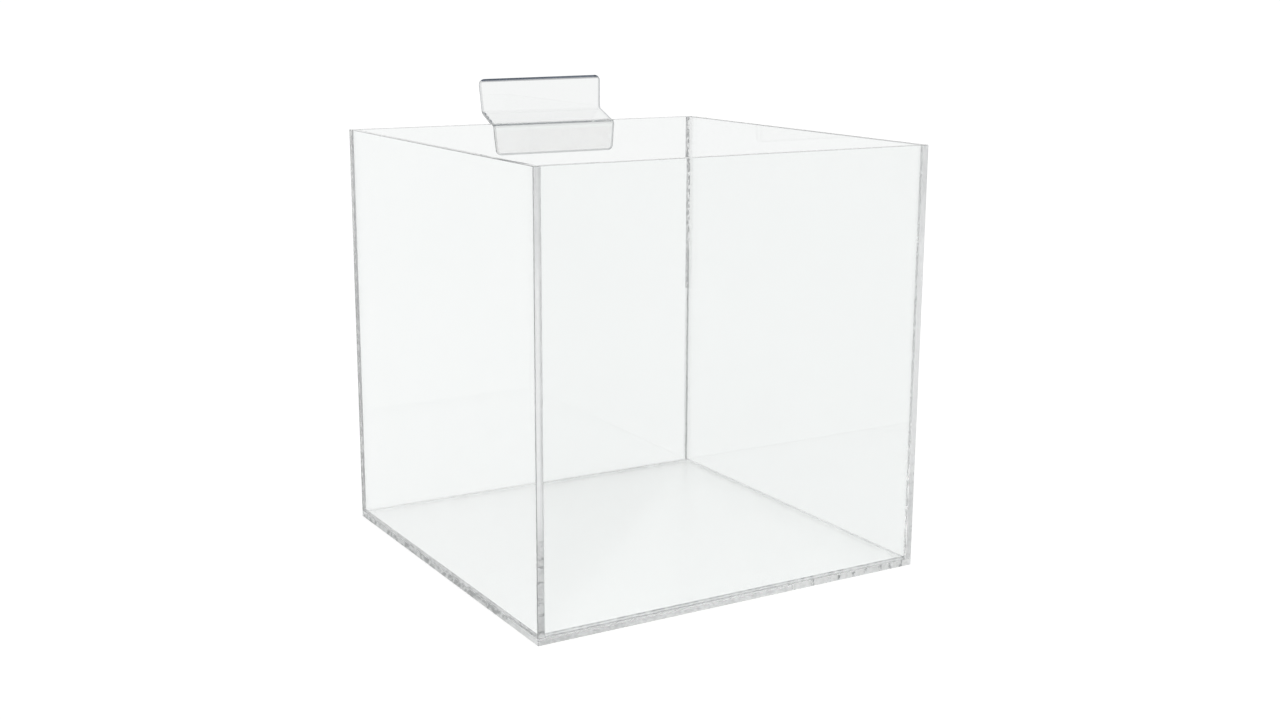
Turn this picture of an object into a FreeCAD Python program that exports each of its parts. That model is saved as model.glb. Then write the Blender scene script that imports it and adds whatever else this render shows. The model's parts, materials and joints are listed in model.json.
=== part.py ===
import FreeCAD, Part
import os
import Sketcher
from FreeCAD import Vector

# An open-topped cube bin of clear acrylic sheet that stands on its base or hangs on a slatted
# shop wall. A base panel carries four upright panels. The two side panels run the whole depth
# and cover the ends of the front and back panels. A strip of clear sheet, bent into a Z, is
# cemented to the outside of the back panel at the rim, and its upper leg hooks into a groove.
# Every joint is a thin film of cured cement, which is a piece of its own here.
#
# Millimetres, +Z up, front towards -Y. The origin is the middle of the base's underside.

SIZES = (
    # alias, millimetres, meaning
    ("box_width", 203.2, "outside width, across the front"),
    ("box_depth", 203.2, "outside depth, front to back"),
    ("box_height", 203.2, "outside height, underside to rim"),
    ("wall_thickness", 3.175, "sheet of the four upright panels"),
    ("base_thickness", 3.175, "sheet of the base panel"),
    ("cement_gap", 0.1, "film of cement in every joint"),
    ("edge_round", 0.3, "rounding of the bin's polished free edges"),
    ("cleat_width", 72.0, "cleat, left to right"),
    ("cleat_offset", 14.5, "cleat's middle to the right of the bin's middle"),
    ("cleat_sheet", 2.4, "sheet of the cleat"),
    ("lower_leg", 16.3, "cemented leg, low edge to bend corner"),
    ("step_run", 13.2, "how far the step carries the upper leg back"),
    ("step_rise", 6.4, "how far the step climbs on the way"),
    ("upper_leg", 16.5, "hooking leg, bend corner to top edge"),
    ("bend_below_rim", 0.6, "lower bend corner below the rim"),
    ("bend_radius", 1.2, "inside radius of both bends"),
    ("cleat_corner_radius", 2.5, "four outer corners of the cleat"),
    ("cleat_edge_flat", 0.2, "flat left between the cleat's two flame-polished edges"),
    ("cement_margin", 1.0, "cleat's edge to the edge of its cement"),
)

TOLERANCE = 0.01

doc = FreeCAD.newDocument("CubeBin")
sheet = doc.addObject("Spreadsheet::Sheet", "Sizes")
for row, (alias, value, meaning) in enumerate(SIZES, start=1):
    sheet.set(f"A{row}", meaning)
    sheet.set(f"B{row}", str(value))
    sheet.setAlias(f"B{row}", alias)
doc.recompute()

# Heights and reaches that several pieces share, as formulas on the sheet.
WALL_FOOT = "(Sizes.base_thickness + Sizes.cement_gap)"
WALL_HEIGHT = f"(Sizes.box_height - {WALL_FOOT})"
END_PANEL_WIDTH = "(Sizes.box_width - 2 * Sizes.wall_thickness - 2 * Sizes.cement_gap)"
BETWEEN_SIDES = "(Sizes.box_width - 2 * Sizes.wall_thickness)"
SIDE_MIDDLE = "(Sizes.box_width / 2 - Sizes.wall_thickness / 2)"
END_MIDDLE = "(Sizes.box_depth / 2 - Sizes.wall_thickness / 2)"
SIDE_JOINT_MIDDLE = "(Sizes.box_width / 2 - Sizes.wall_thickness - Sizes.cement_gap / 2)"
BASE_JOINT_MIDDLE = "(Sizes.base_thickness + Sizes.cement_gap / 2)"
CLEAT_LOW_EDGE = "(Sizes.box_height - Sizes.bend_below_rim - Sizes.lower_leg)"
BEND_TURN = "(90 deg - atan(Sizes.step_rise / Sizes.step_run))"
BEND_START = f"((Sizes.bend_radius + Sizes.cleat_sheet) * tan({BEND_TURN} / 2))"


def new_body(label):
    body = doc.addObject("PartDesign::Body", label)
    body.Label = label
    return body


def new_sketch(body, name, plane):
    """A sketch on one of the body's own origin planes."""
    sketch = body.newObject("Sketcher::SketchObject", name)
    for feature in body.Origin.OriginFeatures:
        if feature.Role == plane:
            sketch.AttachmentSupport = [(feature, "")]
    sketch.MapMode = "FlatFace"
    return sketch


def outline(sketch, points):
    """A closed outline of straight lines. Line n runs from point n to the next one."""
    count = len(points)
    for n in range(count):
        start = Vector(*points[n], 0)
        end = Vector(*points[(n + 1) % count], 0)
        sketch.addGeometry(Part.LineSegment(start, end), False)
    for n in range(count):
        sketch.addConstraint(Sketcher.Constraint("Coincident", n, 2, (n + 1) % count, 1))


def dimension(sketch, name, formula, *constraint):
    """A named dimension that follows a formula on the sheet."""
    index = sketch.addConstraint(Sketcher.Constraint(*constraint))
    sketch.renameConstraint(index, name)
    sketch.setExpression(f"Constraints.{name}", formula)


def rectangle(sketch, wide, tall):
    """A rectangle that stands on the sketch's horizontal axis, centred on the vertical one."""
    outline(sketch, ((-10, 0), (10, 0), (10, 20), (-10, 20)))
    sketch.addConstraint(Sketcher.Constraint("Vertical", 1))
    sketch.addConstraint(Sketcher.Constraint("Horizontal", 2))
    sketch.addConstraint(Sketcher.Constraint("Vertical", 3))
    sketch.addConstraint(Sketcher.Constraint("Symmetric", 0, 1, 0, 2, -2))
    sketch.addConstraint(Sketcher.Constraint("PointOnObject", 0, 1, -1))
    dimension(sketch, "wide", wide, "DistanceX", 0, 1, 0, 2, 20)
    dimension(sketch, "tall", tall, "DistanceY", 1, 1, 1, 2, 20)


def thicken(body, sketch, thickness):
    """Gives the outline its thickness, half on each side of the sketch's plane."""
    pad = body.newObject("PartDesign::Pad", f"{body.Label}_thickness")
    pad.Profile = sketch
    pad.SideType = "Symmetric"
    pad.setExpression("Length", thickness)
    doc.recompute()


def place(body, **formulas):
    for axis, formula in formulas.items():
        body.setExpression(f"Placement.Base.{axis}", formula)


def sheet_piece(label, plane, wide, tall, thickness, **position):
    """A flat piece cut square, whose low edge's middle lies at its position."""
    body = new_body(label)
    sketch = new_sketch(body, f"{label}_outline", plane)
    rectangle(sketch, wide, tall)
    thicken(body, sketch, thickness)
    place(body, **position)
    return body


def same(value, limit):
    return abs(value - limit) < TOLERANCE


def round_edges(body, name, radius, chosen):
    """Rounds the edges of the body's last feature for which chosen(edge, its box) is true."""
    solid = body.Tip
    box = solid.Shape.BoundBox
    names = [f"Edge{n}" for n, edge in enumerate(solid.Shape.Edges, start=1) if chosen(edge, box)]
    fillet = body.newObject("PartDesign::Fillet", f"{body.Label}_{name}")
    fillet.Base = (solid, names)
    fillet.setExpression("Radius", radius)
    doc.recompute()


# The base panel has the whole footprint. Its underside and its four upright edges are free.


def free_edge_of_base(edge, box):
    return not same(edge.CenterOfMass.z, box.ZMax)


base = sheet_piece(
    "base_panel",
    "XY_Plane",
    wide="Sizes.box_width",
    tall="Sizes.box_depth",
    thickness="Sizes.base_thickness",
    y="-Sizes.box_depth / 2",
    z="Sizes.base_thickness / 2",
)
round_edges(base, "free_edges", "Sizes.edge_round", free_edge_of_base)


# The side panels stand on the base and run its whole depth. Their top edges and the outer
# edges of their two ends are free, and the inner edges of the ends meet the other panels.


def free_edge_of_side(outside):
    def chosen(edge, box):
        middle = edge.CenterOfMass
        outer_face = box.XMax if outside > 0 else box.XMin
        on_rim = same(middle.z, box.ZMax)
        upright = not on_rim and not same(middle.z, box.ZMin)
        return on_rim or (upright and same(middle.x, outer_face))

    return chosen


for label, outside in (("left_panel", -1), ("right_panel", 1)):
    side = sheet_piece(
        label,
        "YZ_Plane",
        wide="Sizes.box_depth",
        tall=WALL_HEIGHT,
        thickness="Sizes.wall_thickness",
        x=f"{outside} * {SIDE_MIDDLE}",
        z=WALL_FOOT,
    )
    round_edges(side, "free_edges", "Sizes.edge_round", free_edge_of_side(outside))


# The front and back panels stand between the side panels, so only their rims are free.


def rim_edge_of_end(edge, box):
    middle = edge.CenterOfMass
    return same(middle.z, box.ZMax) and same(middle.x, box.Center.x)


for label, outside in (("front_panel", -1), ("back_panel", 1)):
    end = sheet_piece(
        label,
        "XZ_Plane",
        wide=END_PANEL_WIDTH,
        tall=WALL_HEIGHT,
        thickness="Sizes.wall_thickness",
        y=f"{outside} * {END_MIDDLE}",
        z=WALL_FOOT,
    )
    round_edges(end, "rim", "Sizes.edge_round", rim_edge_of_end)


# The cement films. Four lie on the base under the walls, and four stand in the upright
# joints, where they end just under the rounded rim.



def outer_upright(outside):
    def chosen(edge, box):
        outer_face = box.XMax if outside > 0 else box.XMin
        return same(edge.BoundBox.ZLength, box.ZLength) and same(edge.CenterOfMass.x, outer_face)

    return chosen


for label, outside in (("base_left_cement", -1), ("base_right_cement", 1)):
    strip = sheet_piece(
        label,
        "XY_Plane",
        wide="Sizes.wall_thickness",
        tall="Sizes.box_depth",
        thickness="Sizes.cement_gap",
        x=f"{outside} * {SIDE_MIDDLE}",
        y="-Sizes.box_depth / 2",
        z=BASE_JOINT_MIDDLE,
    )
    round_edges(strip, "corners", "Sizes.edge_round", outer_upright(outside))

for label, outside in (("base_front_cement", -1), ("base_back_cement", 1)):
    sheet_piece(
        label,
        "XY_Plane",
        wide=BETWEEN_SIDES,
        tall="Sizes.wall_thickness",
        thickness="Sizes.cement_gap",
        y=f"{outside} * {END_MIDDLE} - Sizes.wall_thickness / 2",
        z=BASE_JOINT_MIDDLE,
    )

for label, to_right, to_back in (
    ("front_left_cement", -1, -1),
    ("front_right_cement", 1, -1),
    ("back_left_cement", -1, 1),
    ("back_right_cement", 1, 1),
):
    sheet_piece(
        label,
        "YZ_Plane",
        wide="Sizes.wall_thickness",
        tall=f"{WALL_HEIGHT} - Sizes.edge_round",
        thickness="Sizes.cement_gap",
        x=f"{to_right} * {SIDE_JOINT_MIDDLE}",
        y=f"{to_back} * {END_MIDDLE}",
        z=WALL_FOOT,
    )


# The cleat. Its side view is drawn with sharp bends: the cemented leg goes up the back
# panel, the step carries on back and up, and the hooking leg stands at its end. The sheet has
# one thickness all along, so both faces of the step are held that far apart.

CEMENTED_FACE, LOW_END, LEG_BACK, STEP_UNDER, HOOK_BACK, TOP_END, HOOK_FACE, STEP_TOP = range(8)


def cleat_side_view(sketch):
    outline(
        sketch,
        ((0, 16), (0, 0), (2, 0), (2, 14), (15, 20), (15, 39), (13, 39), (13, 22)),
    )
    for line in (CEMENTED_FACE, LEG_BACK, HOOK_BACK, HOOK_FACE):
        sketch.addConstraint(Sketcher.Constraint("Vertical", line))
    for line in (LOW_END, TOP_END):
        sketch.addConstraint(Sketcher.Constraint("Horizontal", line))
    sketch.addConstraint(Sketcher.Constraint("Coincident", LOW_END, 1, -1, 1))
    sketch.addConstraint(Sketcher.Constraint("Parallel", STEP_UNDER, STEP_TOP))
    sketch.addConstraint(Sketcher.Constraint("Equal", LOW_END, TOP_END))
    dimension(sketch, "leg_sheet", "Sizes.cleat_sheet", "DistanceX", LOW_END, 1, LOW_END, 2, 2)
    dimension(sketch, "step_sheet", "Sizes.cleat_sheet", "Distance", STEP_TOP, 2, STEP_UNDER, 2)
    dimension(
        sketch, "lower", "Sizes.lower_leg", "DistanceY", CEMENTED_FACE, 2, CEMENTED_FACE, 1, 16
    )
    dimension(sketch, "run", "Sizes.step_run", "DistanceX", STEP_TOP, 2, STEP_TOP, 1, 13)
    dimension(sketch, "rise", "Sizes.step_rise", "DistanceY", STEP_TOP, 2, STEP_TOP, 1, 6)
    dimension(sketch, "upper", "Sizes.upper_leg", "DistanceY", HOOK_FACE, 2, HOOK_FACE, 1, 17)


def across(edge):
    """True for an edge that runs the cleat's whole width, as every bend and end does."""
    return edge.BoundBox.XLength > 2 * edge.BoundBox.DiagonalLength / 3


def through_sheet(edge):
    """True for a short edge that goes straight through the sheet from face to face."""
    return same(edge.BoundBox.DiagonalLength, edge.BoundBox.YLength)


cleat = new_body("slatwall_cleat")
side_view = new_sketch(cleat, "slatwall_cleat_side_view", "YZ_Plane")
cleat_side_view(side_view)
thicken(cleat, side_view, "Sizes.cleat_width")
place(
    cleat,
    x="Sizes.cleat_offset",
    y="Sizes.box_depth / 2 + Sizes.cement_gap",
    z=CLEAT_LOW_EDGE,
)


def corner_of(sketch, line, end):
    return sketch.getPoint(line, end)


def bend_at(corners):
    """Chooses the bend edges through the given corners of the side view."""

    def chosen(edge, box):
        middle = edge.CenterOfMass
        return across(edge) and any(
            same(middle.y, corner.x) and same(middle.z, corner.y) for corner in corners
        )

    return chosen


outer_bends = (corner_of(side_view, STEP_TOP, 2), corner_of(side_view, STEP_UNDER, 2))
inner_bends = (corner_of(side_view, STEP_TOP, 1), corner_of(side_view, STEP_UNDER, 1))
OUTSIDE_RADIUS = "Sizes.bend_radius + Sizes.cleat_sheet"
round_edges(cleat, "outer_bends", OUTSIDE_RADIUS, bend_at(outer_bends))
round_edges(cleat, "inner_bends", "Sizes.bend_radius", bend_at(inner_bends))


def corner_edge(edge, box):
    middle = edge.CenterOfMass
    at_end = same(middle.z, box.ZMin) or same(middle.z, box.ZMax)
    return through_sheet(edge) and at_end


def rim_of_sheet(edge, box):
    """The outline of the bent sheet on both of its faces, without the lines of the bends."""
    middle = edge.CenterOfMass
    at_end = same(middle.z, box.ZMin) or same(middle.z, box.ZMax)
    return not through_sheet(edge) and (at_end or not across(edge))


POLISHED_RADIUS = "(Sizes.cleat_sheet - Sizes.cleat_edge_flat) / 2"
round_edges(cleat, "corners", "Sizes.cleat_corner_radius", corner_edge)
round_edges(cleat, "polished_edges", POLISHED_RADIUS, rim_of_sheet)


# The cement between the cleat and the back panel covers the flat of the leg, from its low
# edge to the start of the bend, with a margin all round.

patch = sheet_piece(
    "cleat_cement",
    "XZ_Plane",
    wide="Sizes.cleat_width - 2 * Sizes.cement_margin",
    tall=f"Sizes.lower_leg - {BEND_START} - 2 * Sizes.cement_margin",
    thickness="Sizes.cement_gap",
    x="Sizes.cleat_offset",
    y="Sizes.box_depth / 2 + Sizes.cement_gap / 2",
    z=f"{CLEAT_LOW_EDGE} + Sizes.cement_margin",
)


def low_corner_of_patch(edge, box):
    return through_sheet(edge) and same(edge.CenterOfMass.z, box.ZMin)


PATCH_RADIUS = "Sizes.cleat_corner_radius - Sizes.cement_margin"
round_edges(patch, "low_corners", PATCH_RADIUS, low_corner_of_patch)


# Every object has to be sound before anything is written.

doc.recompute()
for thing in doc.Objects:
    if "Invalid" in thing.State or "Error" in thing.State:
        raise RuntimeError(f"{thing.Label} failed: {thing.State}")

pieces = [thing for thing in doc.Objects if thing.TypeId == "PartDesign::Body"]
for piece in pieces:
    if piece.Shape.isNull() or not piece.Shape.isValid() or len(piece.Shape.Solids) != 1:
        raise RuntimeError(f"{piece.Label} is not one sound solid")

os.makedirs("parts", exist_ok=True)
for piece in pieces:
    piece.Shape.exportStep(f"parts/{piece.Label}.step")
    box = piece.Shape.BoundBox
    print(
        f"{piece.Label:20s} {box.XLength:8.3f} {box.YLength:8.3f} {box.ZLength:8.3f} mm"
        f" {piece.Shape.Volume:10.1f} mm3"
    )
print(f"{len(pieces)} pieces, {sum(piece.Shape.Volume for piece in pieces):.1f} mm3 in all")
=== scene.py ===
# %% [markdown]
# # A clear acrylic bin, built in cells
#
# The object is an open-topped cube of clear acrylic sheet. Five flat sheets are cemented edge
# to face, and a bent strip on the back hangs the bin on a slatted shop wall. Nothing on it is
# opaque, so everything that can be seen is an edge, a joint or a bend. The lesson is about
# those: how a clear edge gets its grey, and how a cemented joint gets its bubbles.
#
# The sizes come from a fixed frame, which holds the box of every piece. The first cell loads it
# and keeps the base's box and the height of the rim.

# %% Load the fixed frame
import json
import math

import bmesh
import bpy
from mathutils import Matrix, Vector, noise


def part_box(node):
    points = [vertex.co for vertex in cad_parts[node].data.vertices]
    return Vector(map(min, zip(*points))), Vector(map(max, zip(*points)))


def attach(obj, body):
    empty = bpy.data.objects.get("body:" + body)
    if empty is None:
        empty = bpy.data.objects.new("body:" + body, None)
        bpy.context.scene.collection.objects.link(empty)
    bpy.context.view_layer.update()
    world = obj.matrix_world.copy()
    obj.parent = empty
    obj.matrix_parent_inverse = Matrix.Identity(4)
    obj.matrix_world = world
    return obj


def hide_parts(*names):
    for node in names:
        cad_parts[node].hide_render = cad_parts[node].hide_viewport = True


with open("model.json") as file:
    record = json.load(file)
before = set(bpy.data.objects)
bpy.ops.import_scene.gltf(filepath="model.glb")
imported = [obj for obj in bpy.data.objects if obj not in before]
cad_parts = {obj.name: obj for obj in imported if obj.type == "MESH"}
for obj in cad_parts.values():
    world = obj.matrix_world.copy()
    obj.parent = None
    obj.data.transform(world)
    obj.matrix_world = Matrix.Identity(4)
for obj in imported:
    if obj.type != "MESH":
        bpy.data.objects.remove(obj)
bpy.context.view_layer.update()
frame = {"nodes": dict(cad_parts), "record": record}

NODES = sorted(frame["nodes"])
BASE_LOW, BASE_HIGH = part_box("base_panel")
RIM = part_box("left_panel")[1].z
MIDDLE = Vector((0, 0, RIM / 2))
print("pieces in the frame:", ", ".join(NODES))
print("the bin stands", round(RIM * 1000, 1), "mm tall")

# %% [markdown]
# ## The camera
#
# The camera looks down a little at one corner of the bin, from the left of its front. It is
# placed by an angle round the bin, an angle above the floor and a distance. Its turn is
# worked out from the three directions it needs: where it looks, what is right and what is up.

# %% Place the camera
CAMERA_ROUND = math.radians(30.7)
CAMERA_ABOVE = math.radians(12.7)
CAMERA_TILT = math.radians(0.26)
CAMERA_DISTANCE = 0.78
CAMERA_AIM = MIDDLE + Vector((-0.005, -0.0225, -0.0031))
LENS = 45.6


def camera_turn(look, tilt):
    """The three axes of a camera that looks along a direction, with its top upwards."""
    right = look.cross(Vector((0, 0, 1))).normalized()
    up = right.cross(look)
    level_right = math.cos(tilt) * right + math.sin(tilt) * up
    level_up = math.cos(tilt) * up - math.sin(tilt) * right
    return level_right, level_up


look = Vector(
    (
        math.sin(CAMERA_ROUND) * math.cos(CAMERA_ABOVE),
        math.cos(CAMERA_ROUND) * math.cos(CAMERA_ABOVE),
        -math.sin(CAMERA_ABOVE),
    )
)
bpy.ops.object.camera_add()
camera = bpy.context.object
camera.name = "camera"
camera.data.lens = LENS
right, up = camera_turn(look, CAMERA_TILT)
turn = camera.matrix_world.copy()
for row in range(3):
    turn[row][0], turn[row][1], turn[row][2] = right[row], up[row], -look[row]
turn.translation = CAMERA_AIM - CAMERA_DISTANCE * look
camera.matrix_world = turn
bpy.context.scene.camera = camera
print("camera at", tuple(round(v, 3) for v in turn.translation))

# %% [markdown]
# ## The light tent
#
# The bin stands in a white tent: the floor and the walls are all one white, and the light
# comes from everywhere. Only the top of the tent is dimmer. A flat clear face passes the
# white straight through, so it almost disappears, but an edge bends the light round from the
# dim top, and that is what draws it in grey. The tent is the world's own colour, chosen by
# height above the horizon. The floor gives off most of its own light, so that it is as white
# as the tent behind it and the bin throws almost no shadow on it.

# %% Light the tent
TENT_WHITE = (1.0, 1.0, 1.0, 1)
TENT_TOP = (0.25, 0.255, 0.265, 1)
WHITE_UP_TO = 0.7  # the height of a direction: 0 at the horizon, 1 straight up
TOP_FROM = 0.95


def new_tree(owner):
    """Turns on an owner's nodes and clears what is in them."""
    owner.use_nodes = True
    owner.node_tree.nodes.clear()
    return owner.node_tree


def add_node(tree, kind, **settings):
    node = tree.nodes.new(kind)
    for name, value in settings.items():
        setattr(node, name, value)
    return node


world = bpy.data.worlds.new("light_tent")
bpy.context.scene.world = world
tree = new_tree(world)
direction = add_node(tree, "ShaderNodeTexCoord")
height = add_node(tree, "ShaderNodeSeparateXYZ")
fade = add_node(tree, "ShaderNodeValToRGB")
light = add_node(tree, "ShaderNodeBackground")
output = add_node(tree, "ShaderNodeOutputWorld")
fade.color_ramp.elements[0].position = WHITE_UP_TO
fade.color_ramp.elements[0].color = TENT_WHITE
fade.color_ramp.elements[1].position = TOP_FROM
fade.color_ramp.elements[1].color = TENT_TOP
tree.links.new(direction.outputs["Generated"], height.inputs[0])
tree.links.new(height.outputs["Z"], fade.inputs["Fac"])
tree.links.new(fade.outputs["Color"], light.inputs["Color"])
tree.links.new(light.outputs[0], output.inputs["Surface"])
print("tent from", TENT_WHITE[0], "at the horizon to", TENT_TOP[0], "overhead")

# %% [markdown]
# The floor is a plain plane just under the bin, so large that its edge stays out of view.
# The gap keeps the base's underside from lying in the same place as the floor, which would
# flicker.

# %% Lay the floor
FLOOR_SIZE = 400
FLOOR_GAP = 0.0002
FLOOR_PAPER = (0.35, 0.35, 0.35, 1)
FLOOR_GLOW = 0.79

bpy.ops.mesh.primitive_plane_add(size=FLOOR_SIZE, location=(0, 0, BASE_LOW.z - FLOOR_GAP))
floor = bpy.context.object
floor.name = "floor"
paper = bpy.data.materials.new("floor_paper")
tree = new_tree(paper)
surface = add_node(tree, "ShaderNodeBsdfPrincipled")
output = add_node(tree, "ShaderNodeOutputMaterial")
surface.inputs["Base Color"].default_value = FLOOR_PAPER
surface.inputs["Roughness"].default_value = 1.0
surface.inputs["Specular IOR Level"].default_value = 0.0
surface.inputs["Emission Color"].default_value = (1, 1, 1, 1)
surface.inputs["Emission Strength"].default_value = FLOOR_GLOW
tree.links.new(surface.outputs[0], output.inputs["Surface"])
floor.data.materials.append(paper)
print("floor", FLOOR_SIZE, "m across")

# %% [markdown]
# Light that goes into an edge runs along inside the sheet and is thrown from face to face
# dozens of times before it comes out, so the scene allows that many turns. The Standard view
# shows white as white, which a tent needs.

# %% Let the light turn often enough
LIGHT_TURNS = 96

scene = bpy.context.scene
scene.view_settings.view_transform = "Standard"
scene.cycles.max_bounces = LIGHT_TURNS
scene.cycles.glossy_bounces = LIGHT_TURNS
scene.cycles.transmission_bounces = LIGHT_TURNS
print("light may turn", LIGHT_TURNS, "times")

# %% [markdown]
# ## Selecting in code
#
# The pieces are made with the operators that a hand would use in edit mode. An operator acts
# on what is selected, so each step starts with nothing selected, and picks its edges or faces
# by where they are and which way they point.

# %% Helpers for selecting
def start_fresh():
    """Leaves edit mode and selects nothing."""
    if bpy.context.object and bpy.context.object.mode != "OBJECT":
        bpy.ops.object.mode_set(mode="OBJECT")
    bpy.ops.object.select_all(action="DESELECT")


def take(piece):
    """Selects one piece and nothing else."""
    start_fresh()
    piece.select_set(True)
    bpy.context.view_layer.objects.active = piece


def edit(piece):
    take(piece)
    bpy.ops.object.mode_set(mode="EDIT")


def select_where(piece, kind, wanted):
    """In edit mode, selects the vertices, edges or faces that pass the test."""
    bpy.ops.mesh.select_mode(type=kind)
    bpy.ops.mesh.select_all(action="DESELECT")
    mesh = bmesh.from_edit_mesh(piece.data)
    for part in {"VERT": mesh.verts, "EDGE": mesh.edges, "FACE": mesh.faces}[kind]:
        if wanted(part):
            part.select_set(True)
    bmesh.update_edit_mesh(piece.data)


def select_edges(piece, wanted):
    """In edit mode, selects the edges whose middle and direction pass the test."""

    def passes(edge):
        start, end = edge.verts[0].co, edge.verts[1].co
        return wanted((start + end) / 2, (end - start).normalized())

    select_where(piece, "EDGE", passes)


print("selecting helpers ready")

# %% [markdown]
# ## Finishes as face values
#
# One sheet has several finishes. Its two faces are as glossy as when the film came off, its rim
# is polished, and its other edges are as the saw left them. Two materials on one clear solid
# would confuse the light inside it, so a sheet has one material, and each face carries values for
# it to read: whether it is edge, how round, how sawn, how speckled and how dulled, and for the
# flat faces how greyed, how scuffed and how wetted by cement. On the walls the greying is painted
# shade. Each face corner also carries its place along and across its edge, so that marks can be
# laid along it.

# %% Helpers for marking
EDGE = "edge"
ROUNDED = "rounded"
SAWN = "sawn"
SPECKLED = "speckled"
WETTED = "wetted"
GREYED = "greyed"
DULLED = "dulled"
SCUFFED = "scuffed"
EDGE_PLACE = "edge_place"


def mark_faces(piece, name, amount):
    """Writes a value on every face, worked out from the face's middle and normal."""
    mesh = piece.data
    values = mesh.attributes.get(name) or mesh.attributes.new(name, "FLOAT", "FACE")
    for face in mesh.polygons:
        values.data[face.index].value = amount(face.center, face.normal)


def nothing(middle, normal):
    return 0.0


def mark_edge_places(piece, thin, number, fineness=1.0):
    """Writes on every face corner how far along its edge it is and how far across.

    The number is different for each piece, so that no two edges get the same marks."""
    mesh = piece.data
    reach = [vertex.co[thin] for vertex in mesh.vertices]
    low, size = min(reach), max(reach) - min(reach)
    others = [axis for axis in range(3) if axis != thin]
    places = mesh.attributes.new(EDGE_PLACE, "FLOAT_VECTOR", "CORNER")
    for face in mesh.polygons:
        facing = max(others, key=lambda axis: abs(face.normal[axis]))
        along = sum(others) - facing
        which = number + facing + (0.5 if face.normal[facing] > 0 else 0.0)
        for corner in face.loop_indices:
            place = mesh.vertices[mesh.loops[corner].vertex_index].co
            across = (place[thin] - low) / size
            places.data[corner].vector = (place[along] * fineness, across, which)


print("face marks:", EDGE, ROUNDED, SAWN, SPECKLED, DULLED, GREYED, SCUFFED, WETTED)

# %% [markdown]
# Some jobs come back from piece to piece. A piece is shaded so that its flat faces stay flat
# beside the rounded edges, its place is put into its mesh, a bare surface is given its
# thickness, and in the end the piece is handed over to its CAD node.

# %% Helpers for finishing a piece
SMOOTH_UNDER = math.radians(40)
BY_AREA = 100  # the largest faces alone decide how the small ones beside them are shaded


def smooth(piece):
    """Smooth shading that leaves the large flat faces truly flat."""
    take(piece)
    bpy.ops.object.shade_smooth_by_angle(angle=SMOOTH_UNDER)
    even = piece.modifiers.new("even_shading", "WEIGHTED_NORMAL")
    even.keep_sharp = True
    even.weight = BY_AREA
    bpy.ops.object.modifier_apply(modifier=even.name)


def settle(piece, name):
    """Names a piece and puts its place into its mesh."""
    take(piece)
    bpy.ops.object.transform_apply(location=True, rotation=True, scale=True)
    piece.name = name
    piece.data.name = name
    return piece


def thicken(piece, thickness, even=False):
    """Gives a surface its thickness, half of it to each side."""
    take(piece)
    wall = piece.modifiers.new("thickness", "SOLIDIFY")
    wall.thickness = thickness
    wall.offset = 0
    wall.use_even_offset = even
    bpy.ops.object.modifier_apply(modifier=wall.name)


def hand_over(piece, node, material):
    """The piece stands for its CAD node, rides with the bin and takes a material."""
    piece.data.materials.clear()
    piece.data.materials.append(material)
    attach(piece, "root")
    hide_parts(node)
    print(f"{piece.name}: {len(piece.data.polygons)} faces, stands for {node}")


print("every piece is smooth below", round(math.degrees(SMOOTH_UNDER)), "degrees")

# %% [markdown]
# ## Nodes by function
#
# A material is a net of nodes, and the same few kinds come back in each. One short function
# for each kind keeps a material readable as a list of steps.

# %% Helpers for nodes
SOCKETS = {type(None): "NodeSocketVector", float: "NodeSocketFloat", tuple: "NodeSocketColor"}


def new_group(name, inputs):
    """A node group with named inputs, which puts out a colour, a roughness and a height.

    An input with no starting value is a vector."""
    group = bpy.data.node_groups.new(name, "ShaderNodeTree")
    add_socket = group.interface.new_socket
    for label, start in inputs.items():
        socket = add_socket(name=label, in_out="INPUT", socket_type=SOCKETS[type(start)])
        if start is not None:
            socket.default_value = start
    for label, kind in (("Colour", tuple), ("Roughness", float), ("Height", float)):
        add_socket(name=label, in_out="OUTPUT", socket_type=SOCKETS[kind])
    given = add_node(group, "NodeGroupInput").outputs
    result = add_node(group, "NodeGroupOutput").inputs
    return group, given, result


def math_node(tree, operation, first, second):
    """A Math node on two inputs, each a socket or a number."""
    node = add_node(tree, "ShaderNodeMath", operation=operation)
    for place, value in enumerate((first, second)):
        if isinstance(value, bpy.types.NodeSocket):
            tree.links.new(value, node.inputs[place])
        else:
            node.inputs[place].default_value = value
    return node.outputs[0]


def noise_node(tree, vector, scale, detail, roughness=0.5):
    node = add_node(tree, "ShaderNodeTexNoise")
    tree.links.new(vector, node.inputs["Vector"])
    node.inputs["Scale"].default_value = scale
    node.inputs["Detail"].default_value = detail
    node.inputs["Roughness"].default_value = roughness
    return node.outputs["Fac"]


def stretch(tree, value, low, high):
    """Spreads the values between low and high over 0 to 1."""
    node = add_node(tree, "ShaderNodeMapRange", clamp=True)
    tree.links.new(value, node.inputs["Value"])
    node.inputs["From Min"].default_value = low
    node.inputs["From Max"].default_value = high
    return node.outputs["Result"]


def mix_colours(tree, share, first, second):
    """A Mix node on colours, each a socket or a colour."""
    node = add_node(tree, "ShaderNodeMix", data_type="RGBA")
    tree.links.new(share, node.inputs["Factor"])
    for name, colour in (("A", first), ("B", second)):
        socket = [s for s in node.inputs if s.name == name and s.type == "RGBA"][0]
        if isinstance(colour, bpy.types.NodeSocket):
            tree.links.new(colour, socket)
        else:
            socket.default_value = colour
    return [s for s in node.outputs if s.type == "RGBA"][0]


print("node helpers ready")

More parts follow.
